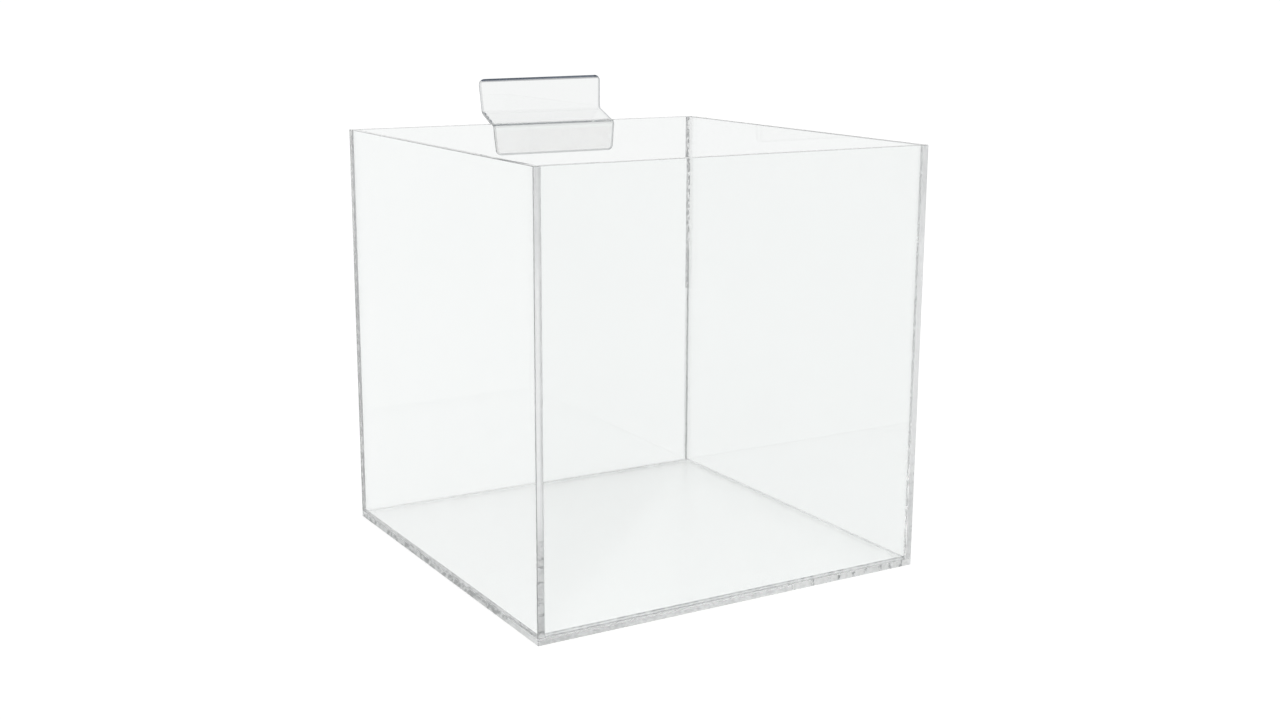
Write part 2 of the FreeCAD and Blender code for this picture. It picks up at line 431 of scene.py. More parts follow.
# %% [markdown]
# ## The marks that a saw leaves
#
# A sawn acrylic edge is crossed by short ridges, and between them the surface is torn a
# little, so it shows slanting bars of lighter and darker grey, a few millimetres long. A
# scraped edge is dull, a clean one has a few long streaks, and an edge that cement ran over
# has specks in a row. The group below makes all four from noise stretched along the edge
# and from a row of cells, and turns them into a colour, a roughness and a height. Every
# rough finish frosts the edge by the same amount, because a little frost already spreads
# the light as far as it goes.

# %% A node group for edges
# how often a pattern changes along a metre of edge and across the edge, how it leans, and
# between which levels of its noise it grows from none to full
STREAKS = dict(along=5.0, across=3.2, detail=1.0, low=0.42, high=0.60)
BARS = dict(along=300.0, across=0.9, slant=0.0022, detail=2.5, roughness=0.6, low=0.42, high=0.58)
FINE_GRAIN = dict(along=600.0, across=1.8, detail=2.0, roughness=0.55, low=0.40, high=0.60)
SPECK_ROW = dict(along=127.0, across=0.0)
SPECK_RIM, SPECK_HEART = 0.17, 0.09
SPECK_SPREAD = 0.7
NEXT_EDGE = 7.3  # how far apart the patterns of two edges lie
DULL_GROUND = 0.6
GRAIN_SHARE = 0.22
FROST = 0.34
FROSTED_FROM = 0.15


def stretched_place(tree, place, along, across, slant=0.0):
    """The place on an edge, scaled along and across it, and slanted across it."""
    parts = add_node(tree, "ShaderNodeSeparateXYZ")
    joined = add_node(tree, "ShaderNodeCombineXYZ")
    tree.links.new(place, parts.inputs[0])
    leaning = math_node(
        tree, "ADD", parts.outputs["X"], math_node(tree, "MULTIPLY", parts.outputs["Y"], slant)
    )
    tree.links.new(math_node(tree, "MULTIPLY", leaning, along), joined.inputs["X"])
    tree.links.new(
        math_node(tree, "MULTIPLY", parts.outputs["Y"], across), joined.inputs["Y"]
    )
    tree.links.new(math_node(tree, "MULTIPLY", parts.outputs["Z"], NEXT_EDGE), joined.inputs["Z"])
    return joined.outputs[0]


def edge_pattern(tree, place, along, across, detail, low, high, slant=0.0, roughness=0.5):
    """A noise laid along the edge, spread from none to full."""
    laid = stretched_place(tree, place, along, across, slant)
    return stretch(tree, noise_node(tree, laid, 1.0, detail, roughness), low, high)


def make_edge_group():
    inputs = {
        "Edge Place": None,
        "Sawn": 0.0,
        "Speckled": 0.0,
        "Clean Colour": (0.95, 0.95, 0.95, 1),
        "Streak Colour": (0.7, 0.7, 0.7, 1),
        "Dulled": 0.0,
        "Dull Colour": (0.5, 0.5, 0.5, 1),
        "Sawn Colour": (0.8, 0.8, 0.8, 1),
        "Torn Colour": (0.5, 0.5, 0.5, 1),
        "Speck Colour": (0.3, 0.3, 0.3, 1),
    }
    group, given, result = new_group("edge_marks", inputs)
    streaks = edge_pattern(group, given["Edge Place"], **STREAKS)
    bars = edge_pattern(group, given["Edge Place"], **BARS)
    fine = edge_pattern(group, given["Edge Place"], **FINE_GRAIN)
    speck_place = stretched_place(group, given["Edge Place"], **SPECK_ROW)
    speck_parts = add_node(group, "ShaderNodeSeparateXYZ")
    group.links.new(speck_place, speck_parts.inputs[0])
    cells = add_node(group, "ShaderNodeTexVoronoi", voronoi_dimensions="1D")
    group.links.new(speck_parts.outputs["X"], cells.inputs["W"])
    cells.inputs["Scale"].default_value = 1.0
    cells.inputs["Randomness"].default_value = SPECK_SPREAD
    near_cell = stretch(group, cells.outputs["Distance"], SPECK_RIM, SPECK_HEART)
    specks = math_node(group, "MULTIPLY", near_cell, fine)

    quiet = math_node(group, "SUBTRACT", 1.0, given["Speckled"])
    streaks = math_node(group, "MULTIPLY", streaks, quiet)
    streaked = mix_colours(group, streaks, given["Clean Colour"], given["Streak Colour"])
    dulled = math_node(group, "ADD", fine, DULL_GROUND)
    dulled = math_node(group, "MULTIPLY", given["Dulled"], dulled)
    streaked = mix_colours(group, dulled, streaked, given["Dull Colour"])
    barred = mix_colours(group, bars, given["Sawn Colour"], given["Torn Colour"])
    colour = mix_colours(group, given["Sawn"], streaked, barred)
    grain = math_node(group, "MULTIPLY", fine, given["Speckled"])
    grain = math_node(group, "MULTIPLY", grain, GRAIN_SHARE)
    spots = math_node(group, "MULTIPLY", specks, given["Speckled"])
    spots = math_node(group, "MAXIMUM", spots, grain)
    colour = mix_colours(group, spots, colour, given["Speck Colour"])
    group.links.new(colour, result["Colour"])

    torn = math_node(group, "MULTIPLY", bars, given["Sawn"])
    relief = math_node(group, "ADD", torn, spots)
    group.links.new(relief, result["Height"])
    frosted = math_node(group, "MAXIMUM", given["Sawn"], given["Speckled"])
    frosted = math_node(group, "MAXIMUM", frosted, given["Dulled"])
    frosted = stretch(group, frosted, 0.0, FROSTED_FROM)
    group.links.new(math_node(group, "MULTIPLY", frosted, FROST), result["Roughness"])
    return group


EDGE_MARKS = make_edge_group()
print("edge group has", len(EDGE_MARKS.nodes), "nodes")

# %% [markdown]
# ## Clear acrylic
#
# Acrylic has a refractive index of 1.49 and takes a little of the light on the way through.
# Across a sheet that can't be seen. Along a sheet, from one edge to the other, the light travels
# as far as the bin is wide, and the loss turns the edge a soft grey. The rest of an edge's grey
# is painted shade in its colour, for the light that an edge bends round from the dim top of the
# tent, under the real marks of its finish. A flat face has only a faint green cast, with painted
# shade greying the far walls. Light on its way to the floor passes the sheets unbent, because a
# clear bin throws almost no shadow.

# %% The material of the flat sheets
ACRYLIC_IOR = 1.49
ABSORPTION_COLOUR = (0.40, 0.46, 0.44, 1)
ABSORPTION_DENSITY = 0.7


def clear_material(name, density):
    """A clear plastic with plain bending and absorption, and the nodes to finish it."""
    material = bpy.data.materials.new(name)
    tree = new_tree(material)
    surface = add_node(tree, "ShaderNodeBsdfPrincipled")
    surface.inputs["IOR"].default_value = ACRYLIC_IOR
    surface.inputs["Transmission Weight"].default_value = 1.0
    surface.inputs["Metallic"].default_value = 0.0
    output = add_node(tree, "ShaderNodeOutputMaterial")
    inside = add_node(tree, "ShaderNodeVolumeAbsorption")
    inside.inputs["Color"].default_value = ABSORPTION_COLOUR
    inside.inputs["Density"].default_value = density
    tree.links.new(inside.outputs[0], output.inputs["Volume"])
    path = add_node(tree, "ShaderNodeLightPath")
    open_way = add_node(tree, "ShaderNodeBsdfTransparent")
    mixed = add_node(tree, "ShaderNodeMixShader")
    tree.links.new(path.outputs["Is Shadow Ray"], mixed.inputs["Fac"])
    tree.links.new(surface.outputs[0], mixed.inputs[1])
    tree.links.new(open_way.outputs[0], mixed.inputs[2])
    tree.links.new(mixed.outputs[0], output.inputs["Surface"])
    return material, tree, surface


def place_in_piece(tree):
    return add_node(tree, "ShaderNodeTexCoord").outputs["Object"]


def face_value(tree, name):
    return add_node(tree, "ShaderNodeAttribute", attribute_name=name).outputs["Fac"]


def dent(tree, surface, height, depth):
    """Turns a height into the surface's normal."""
    bump = add_node(tree, "ShaderNodeBump")
    bump.inputs["Strength"].default_value = 1.0
    bump.inputs["Distance"].default_value = depth
    tree.links.new(height, bump.inputs["Height"])
    tree.links.new(bump.outputs[0], surface.inputs["Normal"])


WAVES = dict(scale=18.0, share=0.08)
RUNS = dict(scale=420.0, low=0.38, high=0.62)
SCUFF = 0.25


def finish_sheet_surface(tree, surface, face, wetted, rounded, edge, depth):
    """Colours the flat faces, the rounded edges and the flat edges of a clear sheet."""
    marks = add_node(tree, "ShaderNodeGroup", node_tree=EDGE_MARKS)
    place = add_node(tree, "ShaderNodeAttribute", attribute_name=EDGE_PLACE)
    tree.links.new(place.outputs["Vector"], marks.inputs["Edge Place"])
    for name in (SAWN, SPECKLED, DULLED):
        tree.links.new(face_value(tree, name), marks.inputs[name.capitalize()])
    for name, colour in edge.items():
        marks.inputs[name].default_value = colour
    waves = noise_node(tree, place_in_piece(tree), WAVES["scale"], 2.0)
    waves = math_node(tree, "MULTIPLY", waves, WAVES["share"])
    # the greying is painted shade on the walls, and the waves added to it differ at random
    greying = math_node(tree, "ADD", face_value(tree, GREYED), waves)
    plain = mix_colours(tree, greying, face[0], face[1])
    runs = noise_node(tree, place_in_piece(tree), RUNS["scale"], 2.0)
    runs = stretch(tree, runs, RUNS["low"], RUNS["high"])
    crept = mix_colours(tree, runs, wetted[0], wetted[1])
    plain = mix_colours(tree, face_value(tree, WETTED), plain, crept)
    ends = mix_colours(tree, face_value(tree, ROUNDED), marks.outputs["Colour"], rounded)
    colour = mix_colours(tree, face_value(tree, EDGE), plain, ends)
    tree.links.new(colour, surface.inputs["Base Color"])
    scuffs = math_node(tree, "MULTIPLY", face_value(tree, SCUFFED), SCUFF)
    roughness = math_node(tree, "ADD", marks.outputs["Roughness"], scuffs)
    tree.links.new(roughness, surface.inputs["Roughness"])
    dent(tree, surface, marks.outputs["Height"], depth)


def cool_grey(level):
    """A grey with a trace of blue, as a clear edge has."""
    return (level, level + 0.005, level + 0.01, 1)


SHEET, tree, surface = clear_material("clear_acrylic", ABSORPTION_DENSITY)
finish_sheet_surface(
    tree,
    surface,
    # the flat faces go from the first colour to the second as they are greyed, which on the walls
    # is painted shade
    face=((0.990, 1.0, 0.996, 1), (0.860, 0.870, 0.866, 1)),
    wetted=(cool_grey(0.40), cool_grey(0.14)),
    # the grey of the polished rim is painted shade: a clear rounded edge has no grey of its own,
    # it only bends the dim top of the tent into view
    rounded=cool_grey(0.40),
    # the edge greys are partly painted shade, darker than the acrylic is, for the light that an
    # edge bends round from the dim top of the tent; the bars, streaks and specks laid over them
    # are real marks of the saw, the scraper and the cement
    edge={
        "Clean Colour": (0.97, 0.97, 0.97, 1),
        "Streak Colour": cool_grey(0.85),
        "Dull Colour": cool_grey(0.54),
        "Sawn Colour": cool_grey(0.76),
        "Torn Colour": cool_grey(0.22),
        "Speck Colour": cool_grey(0.15),
    },
    depth=0.00006,
)
print(SHEET.name, "ready")

# %% [markdown]
# ## The five flat sheets
#
# A flat sheet starts as a cube primitive, resized in edit mode to the box that the frame gives.
# What makes it a sheet of acrylic is its edges. The free ones are polished round with a bevel,
# and the ones that meet another sheet stay sharp, as the saw cut them, so that the joint closes.
# Where the sawn finish changes partway along an edge, the sheet is cut there by a bisect, so that
# each stretch has faces of its own to mark. The back and right sheets get more painted shade, a
# grey tint in their faces, than the front and left ones, so that one layer and two look equally
# grey.

# %% Make a sheet
EDGE_ROUND = 0.0003
ROUND_STEPS = 4
SQUARELY = 0.98  # a face points along an axis when its normal reaches this far along it


def near(value, limit):
    return abs(value - limit) < 0.00001


def thin_axis(node):
    """The axis across a flat piece's thickness."""
    low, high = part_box(node)
    size = high - low
    return min(range(3), key=lambda axis: size[axis])


def cut_across(piece, axis, places):
    """Cuts a piece straight across at each of the places on an axis."""
    for where in places:
        edit(piece)
        bpy.ops.mesh.select_all(action="SELECT")
        point, direction = Vector((0, 0, 0)), Vector((0, 0, 0))
        point[axis], direction[axis] = where, 1
        bpy.ops.mesh.bisect(plane_co=point, plane_no=direction)


def make_sheet(node, free_edge, cuts=()):
    """A flat sheet, its free edges rounded, cut across where its finish changes.

    free_edge(node, middle, direction) says which edges are free."""
    low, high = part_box(node)
    start_fresh()
    bpy.ops.mesh.primitive_cube_add(size=1, location=(low + high) / 2)
    piece = bpy.context.object
    edit(piece)
    bpy.ops.transform.resize(value=high - low)
    settle(piece, node.replace("panel", "sheet"))
    edit(piece)
    select_edges(piece, lambda middle, direction: free_edge(node, middle, direction))
    bpy.ops.mesh.bevel(offset=EDGE_ROUND, segments=ROUND_STEPS, affect="EDGES")
    for axis, places in cuts:
        cut_across(piece, axis, places)
    smooth(piece)
    return piece


print("free edges are rounded by", EDGE_ROUND * 1000, "mm")

# %% [markdown]
# The finish of a sheet is then written on its faces. The tables say how much painted shade greys
# the faces of each sheet and how much scrapers left on its edges, and only the flat edge faces
# are sawn or speckled.

# %% Mark a sheet
NUMBERS = {"base_panel": 1, "left_panel": 4, "right_panel": 5, "front_panel": 8, "back_panel": 9}
# painted shade: how grey the flat faces of each sheet are tinted, more on the far walls than on
# the near ones
PAINTED_WALL_SHADE = {
    "front_panel": 0.2,
    "left_panel": 0.2,
    "base_panel": 0.0,
    "back_panel": 0.8,
    "right_panel": 0.8,
}
SCRAPED = {"base_panel": 0.5, "left_panel": 0.15, "right_panel": 0.13}


def dulled_amount(node, middle, normal):
    """How dull a scraper left the edges that face the front."""
    if normal.y > -SQUARELY or node not in SCRAPED:
        return 0.0
    if node == "base_panel":
        scraped = middle.z < SCRAPED_TO and middle.x < FRONT_ROUGH_FROM
    else:
        scraped = middle.z > ROUGH_UP_TO[node]
    return SCRAPED[node] if scraped else 0.0


def scuffed_amount(node, normal):
    """The floor of the bin is scuffed by what has stood in it."""
    return 1.0 if node == "base_panel" and normal.z > SQUARELY else 0.0


def finish_sheet(piece, node, sawn_amount, speckled_amount, fineness=1.0):
    """Marks a sheet. An amount(node, middle, normal) is how much a flat edge face has."""
    axis = thin_axis(node)

    def edge(middle, normal):
        return 1.0 if abs(normal[axis]) < SQUARELY else 0.0

    def rounded(middle, normal):
        turned = max(abs(n) for n in normal) < SQUARELY
        return 1.0 if edge(middle, normal) and turned else 0.0

    def on_flat_edge(amount):
        def kept(middle, normal):
            flat = edge(middle, normal) and not rounded(middle, normal)
            return amount(node, middle, normal) if flat else 0.0

        return kept

    marks = {
        EDGE: edge,
        ROUNDED: rounded,
        SAWN: on_flat_edge(sawn_amount),
        SPECKLED: on_flat_edge(speckled_amount),
        WETTED: wetted_amount(node),
        GREYED: lambda middle, normal: PAINTED_WALL_SHADE[node],
        DULLED: lambda middle, normal: dulled_amount(node, middle, normal),
        SCUFFED: lambda middle, normal: scuffed_amount(node, normal),
    }
    for name, amount in marks.items():
        mark_faces(piece, name, amount)
    mark_edge_places(piece, axis, NUMBERS[node], fineness)
    hand_over(piece, node, SHEET)


print("painted_wall_shade:", PAINTED_WALL_SHADE)

# %% [markdown]
# Cement that is drawn into a joint also creeps a millimetre up the inner faces beside it and
# dries there as a grey bead. It is the line that is seen round the floor and up the inner
# corners. Each wall is cut twice along its foot and twice beside each upright joint, and the
# strips between are marked with how much cement they carry. One more cut across the middle
# parts the upright joints, because less cement crept out of them lower down.

# %% Where cement crept
FOOT_STRIPS = (0.0005, 0.0012)
CORNER_STRIPS = (0.0013, 0.0024)
BEADED_FROM = 0.52 * RIM
THIN_BEAD = 0.4
INNER_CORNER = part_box("right_panel")[0].x
CREPT = {
    # for the foot and each of the two corners: the strip next to the joint, the one beyond
    "front_panel": ((0.6, 0.9), (0.05, 0.02), (0.05, 0.02)),
    "back_panel": ((0.25, 0.25), (0.12, 0.06), (0.3, 1.0)),
    "left_panel": ((0.9, 1.0), (0.05, 0.02), (0.12, 0.06)),
    "right_panel": ((0.25, 0.25), (0.05, 0.02), (0.3, 0.2)),
}


def wetted_amount(node):
    """How much cement each inner face beside a joint carries."""
    if node not in CREPT:
        return nothing
    low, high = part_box(node)
    thin = thin_axis(node)
    along = 1 - thin
    inward = -1 if low[thin] > 0 else 1
    foot, first, second = CREPT[node]

    def amount(middle, normal):
        if normal[thin] * inward < SQUARELY:
            return 0.0
        for strip, wet in zip(FOOT_STRIPS, foot):
            if middle.z < low.z + strip:
                return wet
        corner = second if middle[along] > 0 else first
        share = 1.0 if middle.z > BEADED_FROM else THIN_BEAD
        for strip, wet in zip(CORNER_STRIPS, corner):
            if abs(middle[along]) > INNER_CORNER - strip:
                return wet * share
        return 0.0

    return amount


def strip_cuts(node):
    """The cuts that part a wall's strips from the rest of it."""
    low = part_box(node)[0]
    feet = tuple(low.z + strip for strip in FOOT_STRIPS)
    corners = tuple(
        side * (INNER_CORNER - strip) for strip in CORNER_STRIPS for side in (-1, 1)
    )
    return (2, (*feet, BEADED_FROM)), (1 - thin_axis(node), corners)


print("cement crept up", FOOT_STRIPS[-1] * 1000, "mm from the floor")

# %% [markdown]
# The base lies under all the walls, so its underside and its four corners are free. Its left
# edge is rough from the saw and only a little smoother beside the front corner. Its front
# edge was scraped dull on its lower part, up to the place right of the middle where cement
# ran out and dried in specks. Its top is scuffed by what has stood in the bin.

# %% The base sheet
FRONT_ROUGH_FROM = 0.29 * BASE_HIGH.x
LEFT_CLEAN_TO = 0.72 * BASE_LOW.y
SCRAPED_TO = 0.72 * BASE_HIGH.z
SMOOTHER = 0.35


def base_free_edge(node, middle, direction):
    return not near(middle.z, BASE_HIGH.z)


def base_sawn(node, middle, normal):
    if normal.x < -SQUARELY:
        return 1.0 if middle.y > LEFT_CLEAN_TO else SMOOTHER
    return 0.0


def base_speckled(node, middle, normal):
    return 1.0 if normal.y < -SQUARELY and middle.x > FRONT_ROUGH_FROM else 0.0


base_sheet = make_sheet(
    "base_panel",
    base_free_edge,
    cuts=((0, (FRONT_ROUGH_FROM,)), (1, (LEFT_CLEAN_TO,)), (2, (SCRAPED_TO,))),
)
finish_sheet(base_sheet, "base_panel", base_sawn, base_speckled)

# %% [markdown]
# The side sheets run the whole depth and cover the ends of the front and back ones, so their
# ends show on the front of the bin as upright bands. The rims and the outer edges are
# polished. The lowest quarter of the front ends is rough on the left and mostly specks on
# the right, and above that they are lightly scraped. The top third of the back ends is sawn.

# %% The two side sheets
ROUGH_UP_TO = {"left_panel": 0.23 * RIM, "right_panel": 0.26 * RIM}
BACK_ROUGH_FROM = 0.68 * RIM
BACK_ROUGHNESS = 0.7
ROUGHNESS = {"left_panel": 0.3, "right_panel": 0.05}
SPECKS = {"left_panel": 0.85, "right_panel": 0.35}
FINENESS = {"left_panel": 1.5, "right_panel": 1.6}


def side_free_edge(node, middle, direction):
    low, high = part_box(node)
    outer = low.x if low.x < 0 else high.x
    upright = abs(direction.z) > SQUARELY
    return near(middle.z, high.z) or (upright and near(middle.x, outer))


def side_sawn(node, middle, normal):
    if normal.y < -SQUARELY and middle.z < ROUGH_UP_TO[node]:
        return ROUGHNESS[node]
    if normal.y > SQUARELY and middle.z > BACK_ROUGH_FROM:
        return BACK_ROUGHNESS
    return 0.0


def side_speckled(node, middle, normal):
    foot = normal.y < -SQUARELY and middle.z < ROUGH_UP_TO[node]
    return SPECKS[node] if foot else 0.0


for node in ("left_panel", "right_panel"):
    side = make_sheet(
        node,
        side_free_edge,
        cuts=((2, (ROUGH_UP_TO[node], BACK_ROUGH_FROM)), *strip_cuts(node)),
    )
    finish_sheet(side, node, side_sawn, side_speckled, FINENESS[node])

# %% [markdown]
# The front and back sheets stand between the sides. Only their rims are free. Every other
# edge is inside a joint, and the upright ones are half as rough as a saw can leave them.

# %% The front and back sheets
JOINT_ROUGHNESS = 0.5


def rim_edge(node, middle, direction):
    return near(middle.z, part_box(node)[1].z) and abs(direction.x) > SQUARELY


def joint_sawn(node, middle, normal):
    return JOINT_ROUGHNESS if abs(normal.x) > SQUARELY else 0.0


def no_specks(node, middle, normal):
    return 0.0


for node in ("front_panel", "back_panel"):
    end = make_sheet(node, rim_edge, cuts=strip_cuts(node))
    finish_sheet(end, node, joint_sawn, no_specks)

# %% [markdown]
# ## The cement
#
# Solvent cement is drawn into a joint as a thin film. Where it wets both sheets they become
# one and the joint can't be seen. Where it skips, air stays between them, and the gap shines
# like silver or looks dark. So a film is modelled with its gaps as real holes. It starts as a
# grid primitive as large as the joint, and the cells that noise picks out are deleted, with
# the loose crumbs and the cells that hang on by a corner, so that the film closes. Its ragged
# outlines are smoothed, and Solidify gives the film its thickness. The film reaches a hair
# into both sheets, because that is what welding does, and because two clear faces in one
# place would flicker.

# %% Make a film
CELL = 0.0003
WELD = 0.00001
COARSE, FINE = 420, 1300
FINE_SHARE = 0.35
CRUMB = 16
CELLS_ACROSS = 4

TURNS = {
    # thin axis and long axis of the joint, and the turn that lays a flat grid into it
    (2, 0): (0, 0, 0),
    (2, 1): (0, 0, math.pi / 2),
    (0, 2): (0, -math.pi / 2, 0),
    (1, 0): (math.pi / 2, 0, 0),
}


def part_pinches(mesh):
    """Removes the corners at which cells touch by one point only, and the cells there."""
    pinched = True
    while pinched:
        pinched = [
            vertex
            for vertex in mesh.verts
            if sum(edge.is_boundary for edge in vertex.link_edges) > 2
        ]
        bmesh.ops.delete(mesh, geom=pinched, context="VERTS")
    bare_edges = [edge for edge in mesh.edges if not edge.link_faces]
    bmesh.ops.delete(mesh, geom=bare_edges, context="EDGES")
    bare_corners = [vertex for vertex in mesh.verts if not vertex.link_faces]
    bmesh.ops.delete(mesh, geom=bare_corners, context="VERTS")


def drop_crumbs(mesh):
    """Removes patches of cement too small to hold anything."""
    waiting = set(mesh.faces)
    crumbs = []
    while waiting:
        patch, edge_of_patch = set(), [waiting.pop()]
        while edge_of_patch:
            face = edge_of_patch.pop()
            patch.add(face)
            beside = {other for edge in face.edges for other in edge.link_faces} & waiting
            waiting -= beside
            edge_of_patch.extend(beside)
        if len(patch) < CRUMB:
            crumbs.extend(patch)
    bmesh.ops.delete(mesh, geom=crumbs, context="FACES")


def make_film(node, gap_level):
    """A film of cement with holes. gap_level(share along the joint) is how far the noise
    has to rise for a hole: the lower it is, the more holes there are."""
    low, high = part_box(node)
    size = high - low
    thin = thin_axis(node)
    long = max(range(3), key=lambda axis: size[axis])
    wide = 3 - thin - long
    start_fresh()
    bpy.ops.mesh.primitive_grid_add(
        x_subdivisions=round(size[long] / CELL),
        y_subdivisions=max(CELLS_ACROSS, round(size[wide] / CELL)),
        size=1,
        location=(low + high) / 2,
        rotation=TURNS[(thin, long)],
    )
    film = bpy.context.object
    film.scale = (size[long], size[wide], 1)
    settle(film, node.replace("cement", "film"))
    edit(film)

    def skipped(face):
        middle = face.calc_center_median()
        share = (middle[long] - low[long]) / size[long]
        level = noise.noise(middle * COARSE) + FINE_SHARE * noise.noise(middle * FINE)
        return level > gap_level(share)

    select_where(film, "FACE", skipped)
    bpy.ops.mesh.delete(type="FACE")
    mesh = bmesh.from_edit_mesh(film.data)
    part_pinches(mesh)
    drop_crumbs(mesh)
    bmesh.update_edit_mesh(film.data)
    bpy.ops.mesh.select_mode(type="VERT")
    bpy.ops.mesh.select_all(action="DESELECT")
    bpy.ops.mesh.select_non_manifold(
        extend=False, use_wire=False, use_multi_face=False, use_non_contiguous=False,
        use_verts=False,
    )
    bpy.ops.mesh.vertices_smooth(factor=0.5, repeat=2)
    thicken(film, size[thin] + 2 * WELD)
    return film


print("film cells of", CELL * 1000, "mm, welded", WELD * 1000, "mm deep")

# %% [markdown]
# The cement itself is clear but a little hazy, and its haze varies from place to place. The
# same kind of noise that makes the holes makes the haze, only softer. Two joints are full of
# air in gaps too small to model, and their cement is darker to stand for it. The patch
# behind the cleat is nearly clear, and its colour is a trace warmer than the sheets'.

# %% The material of the cement
HAZE_RANGE = (0.35, 0.7)
HAZE_FROST = 0.25
HAZE_DEPTH = 0.00003


def make_haze_group():
    inputs = {
        "Place": None,
        "Clear Colour": (1, 1, 1, 1),
        "Hazy Colour": (0.8, 0.8, 0.8, 1),
        "Haze Scale": 500.0,
    }
    group, given, result = new_group("cement_haze", inputs)
    scaled = add_node(group, "ShaderNodeVectorMath", operation="SCALE")
    group.links.new(given["Place"], scaled.inputs[0])
    group.links.new(given["Haze Scale"], scaled.inputs["Scale"])
    haze = stretch(group, noise_node(group, scaled.outputs[0], 1.0, 3.0), *HAZE_RANGE)
    colour = mix_colours(group, haze, given["Clear Colour"], given["Hazy Colour"])
    group.links.new(colour, result["Colour"])
    group.links.new(math_node(group, "MULTIPLY", haze, HAZE_FROST), result["Roughness"])
    group.links.new(haze, result["Height"])
    return group


CEMENT_HAZE = make_haze_group()


def cement_material(name, clear_colour, hazy_colour, scale):
    material, tree, surface = clear_material(name, ABSORPTION_DENSITY)
    haze = add_node(tree, "ShaderNodeGroup", node_tree=CEMENT_HAZE)
    tree.links.new(place_in_piece(tree), haze.inputs["Place"])
    haze.inputs["Clear Colour"].default_value = clear_colour
    haze.inputs["Hazy Colour"].default_value = hazy_colour
    haze.inputs["Haze Scale"].default_value = scale
    tree.links.new(haze.outputs["Colour"], surface.inputs["Base Color"])
    tree.links.new(haze.outputs["Roughness"], surface.inputs["Roughness"])
    dent(tree, surface, haze.outputs["Height"], HAZE_DEPTH)
    return material


CEMENT = cement_material("joint_cement", (0.96, 0.97, 0.97, 1), (0.72, 0.73, 0.73, 1), 500.0)
AIRY_CEMENT = cement_material("airy_cement", cool_grey(0.60), cool_grey(0.25), 420.0)
CLEAT_CEMENT = cement_material(
    "cleat_cement_grey", (1.0, 0.988, 0.990, 1), (0.985, 0.970, 0.973, 1), 120.0
)
print(CEMENT.name + ",", AIRY_CEMENT.name, "and", CLEAT_CEMENT.name, "ready")

# %% [markdown]
# Each joint has its own history. The left bottom joint skipped all along. The front one is
# tight up to the place where it ran out. The two front uprights are tight at the top and
# bubbly at the foot, and the one at the back right is bubbly at the top. The other three
# have a few gaps all along, and the patch behind the cleat skipped at its right end only.

# %% The films in the joints
TIGHT, SPOTTY, BUBBLY = 0.62, 0.25, 0.08


def bubbly_where(start, end):
    """Bubbly between two shares of the joint's length, and tight elsewhere."""

    def level(share):
        return BUBBLY if start <= share <= end else TIGHT

    return level


def spotty(share):
    return SPOTTY


FILMS = {
    "base_left_cement": bubbly_where(0.0, 1.0),
    "base_right_cement": spotty,
    "base_front_cement": bubbly_where(0.63, 1.0),
    "base_back_cement": spotty,
    "front_left_cement": bubbly_where(0.0, 0.22),
    "front_right_cement": bubbly_where(0.0, 0.25),
    "back_left_cement": spotty,
    "back_right_cement": bubbly_where(0.62, 1.0),
    "cleat_cement": bubbly_where(0.97, 1.0),
}
OTHER_CEMENT = {
    "base_left_cement": AIRY_CEMENT,
    "back_right_cement": AIRY_CEMENT,
    "cleat_cement": CLEAT_CEMENT,
}
for node, gap_level in FILMS.items():
    film = make_film(node, gap_level)
    hand_over(film, node, OTHER_CEMENT.get(node, CEMENT))

# %% [markdown]
# ## The bent cleat
#
# The cleat is one strip of clear sheet, heated along two lines and bent into a Z. The model
# is made the same way: a plane the size of the lower leg is stood up, its top edge is spun
# round the first bend, pushed out along the step, spun back round the second bend and pushed
# up for the hook. The four outer corners are rounded while the strip is still a surface. A
# strip bent by hand isn't quite square, so a few ends of it are shifted by about a
# millimetre. Solidify then gives it thickness, and a wide bevel all round its outline leaves
# the edge almost fully round, as a flame leaves it.

# %% The cleat's sizes, two of them from its mounts
CLEAT_LOW, CLEAT_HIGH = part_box("slatwall_cleat")
mounts = {mount["name"]: mount for mount in frame["record"]["mounts"]}
CLEAT_SHEET = mounts["leg_back"]["pos_m"][1] - CLEAT_LOW.y
STEP_RUN = mounts["hook_face"]["pos_m"][1] - CLEAT_LOW.y
STEP_RISE = 0.0064
LOWER_LEG = 0.0163
BEND_INSIDE = 0.0012
CORNER_RADIUS = 0.0032
EDGE_FLAT = 0.0002
# how deep a band below the top edge is painted with shade
SHADED_BAND = 0.0018

bend_middle_radius = BEND_INSIDE + CLEAT_SHEET / 2
bend_turn = math.pi / 2 - math.atan2(STEP_RISE, STEP_RUN)
print("cleat of", round(CLEAT_SHEET * 1000, 2), "mm sheet, bends of",
      round(math.degrees(bend_turn), 1), "degrees")

# %% Bend the strip
BEND_STEPS = 10


def growing_end(piece):
    """In edit mode, where the selected edge lies: the strip grows on from it."""
    mesh = bmesh.from_edit_mesh(piece.data)
    places = [vertex.co.copy() for vertex in mesh.verts if vertex.select]
    return sum(places, Vector()) / len(places)


